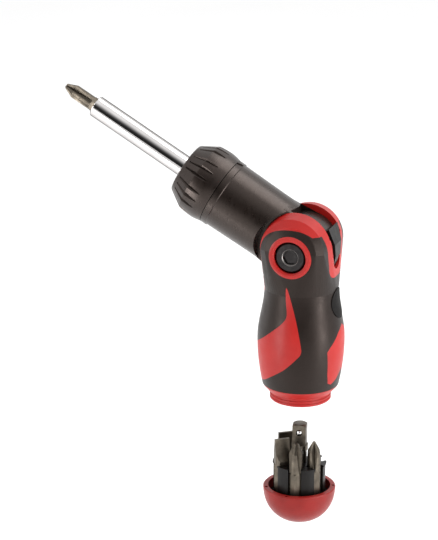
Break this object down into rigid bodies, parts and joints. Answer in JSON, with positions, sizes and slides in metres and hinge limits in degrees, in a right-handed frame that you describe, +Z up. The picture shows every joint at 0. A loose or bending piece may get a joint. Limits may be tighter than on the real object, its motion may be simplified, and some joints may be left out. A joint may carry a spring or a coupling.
{
  "type": "ratcheting screwdriver",
  "caption": "Ratcheting screwdriver with a soft covered grip, a lockable pivoting barrel, a grooved direction collar, a hexagon bit socket and a bit holder under its end cap.",
  "frame": {"origin": "on the handle axis, at the widest part of the grip", "axes": "+Z up the handle axis toward the pivot, +Y along the pivot pin, the barrel leans toward -X and the thumb slide is at +X"},
  "size_m": [0.1352, 0.0402, 0.2014],
  "materials": {
    "core_red": "satin",
    "cap_red": "satin gloss",
    "grip_rubber": "matte",
    "black_plastic": "satin",
    "barrel_black": "satin",
    "black_metal": "satin black",
    "steel": "ground",
    "dark_steel": "oiled, hardened",
    "bearing_bronze": "plain",
    "bright_chrome": "polished",
    "bit_steel": "dark phosphate"
  },
  "bodies": {
    "handle": {"handle_core": "core_red", "grip_cover": "grip_rubber", "spine_pad": "grip_rubber", "pivot_bolt": "black_metal", "pivot_nut": "black_metal", "pivot_washers": "steel"},
    "lock_slide": {"lock_slide": "black_plastic"},
    "lock_bolt": {"lock_bolt": "steel", "lock_spring": "steel"},
    "barrel": {"barrel_housing": "barrel_black", "index_plate": "steel", "hub_bush": "bearing_bronze", "rear_bush": "bearing_bronze", "nose_sleeve": "barrel_black", "nose_screws": "steel", "front_bush": "bearing_bronze", "pawl_pin": "steel", "collar_retainer": "steel", "thrust_washer": "bearing_bronze"},
    "collar": {"selector_collar": "barrel_black", "collar_cover": "black_plastic", "cam_ring": "dark_steel", "selector_plunger": "steel", "plunger_spring": "steel"},
    "pawl": {"rocker_pawl": "dark_steel"},
    "drive_shaft": {"drive_shaft": "bright_chrome", "ratchet_gear": "dark_steel", "shaft_circlip": "steel", "socket_magnet": "dark_steel"},
    "driver_bit": {"driver_bit": "bit_steel"},
    "cap": {"cap_shell": "cap_red", "bit_carrier": "black_plastic", "carrier_screw": "steel"},
    "stored_cross_bit": {"stored_cross_bit": "bit_steel"},
    "stored_point_bit": {"stored_point_bit": "bit_steel"},
    "stored_flat_bit_a": {"stored_flat_bit_a": "bit_steel"},
    "stored_flat_bit_b": {"stored_flat_bit_b": "bit_steel"},
    "square_adapter": {"square_adapter": "bit_steel"},
    "adapter_ball": {"adapter_ball": "bright_chrome", "ball_spring": "steel"}
  },
  "joints": [
    {"name": "barrel_tilt", "type": "hinge", "parent": "handle", "child": "barrel", "pos_m": [0, 0, 0.043], "axis": [0, 1, 0], "range_deg": [-30, 60]},
    {"name": "slide_press", "type": "hinge", "parent": "handle", "child": "lock_slide", "pos_m": [0, 0, 0.043], "axis": [0, 1, 0], "range_deg": [-0.4, 8.4]},
    {"name": "bolt_draw", "type": "slide", "parent": "handle", "child": "lock_bolt", "axis": [0, 0, 1], "range_m": [-0.0022, 0], "stiffness_N_per_m": 400, "springref_m": 0.006, "deforming": ["lock_spring"]},
    {"name": "collar_turn", "type": "hinge", "parent": "barrel", "child": "collar", "pos_m": [0, 0, 0.043], "axis": [-0.866, 0, 0.5], "range_deg": [-25, 25]},
    {"name": "pawl_rock", "type": "hinge", "parent": "barrel", "child": "pawl", "pos_m": [-0.02618, 0, 0.06885], "axis": [-0.866, 0, 0.5], "range_deg": [-8.5, 8.5]},
    {"name": "shaft_spin", "type": "hinge", "parent": "barrel", "child": "drive_shaft", "pos_m": [0, 0, 0.043], "axis": [-0.866, 0, 0.5], "continuous": true},
    {"name": "bit_pull", "type": "slide", "parent": "drive_shaft", "child": "driver_bit", "axis": [-0.866, 0, 0.5], "range_m": [0, 0.0105]},
    {"name": "cap_pull", "type": "slide", "parent": "handle", "child": "cap", "axis": [0, 0, 1], "range_m": [0, 0.0477]},
    {"name": "stored_cross_bit_lift", "type": "slide", "parent": "cap", "child": "stored_cross_bit", "axis": [0, 0, -1], "range_m": [-0.0142, 0]},
    {"name": "stored_point_bit_lift", "type": "slide", "parent": "cap", "child": "stored_point_bit", "axis": [0, 0, -1], "range_m": [-0.0142, 0]},
    {"name": "stored_flat_bit_a_lift", "type": "slide", "parent": "cap", "child": "stored_flat_bit_a", "axis": [0, 0, -1], "range_m": [-0.0142, 0]},
    {"name": "stored_flat_bit_b_lift", "type": "slide", "parent": "cap", "child": "stored_flat_bit_b", "axis": [0, 0, -1], "range_m": [-0.0142, 0]},
    {"name": "square_adapter_lift", "type": "slide", "parent": "cap", "child": "square_adapter", "axis": [0, 0, -1], "range_m": [-0.0142, 0]},
    {"name": "ball_press", "type": "slide", "parent": "square_adapter", "child": "adapter_ball", "axis": [-0.1736, 0.9848, 0], "range_m": [0, 0.0004], "stiffness_N_per_m": 600, "springref_m": -0.0008}
  ],
  "couplings": [
    {"joint": "slide_press", "follows": "bolt_draw", "rad_per_m": -63.4},
    {"joint": "pawl_rock", "follows": "collar_turn", "ratio": 0.3399}
  ]
}
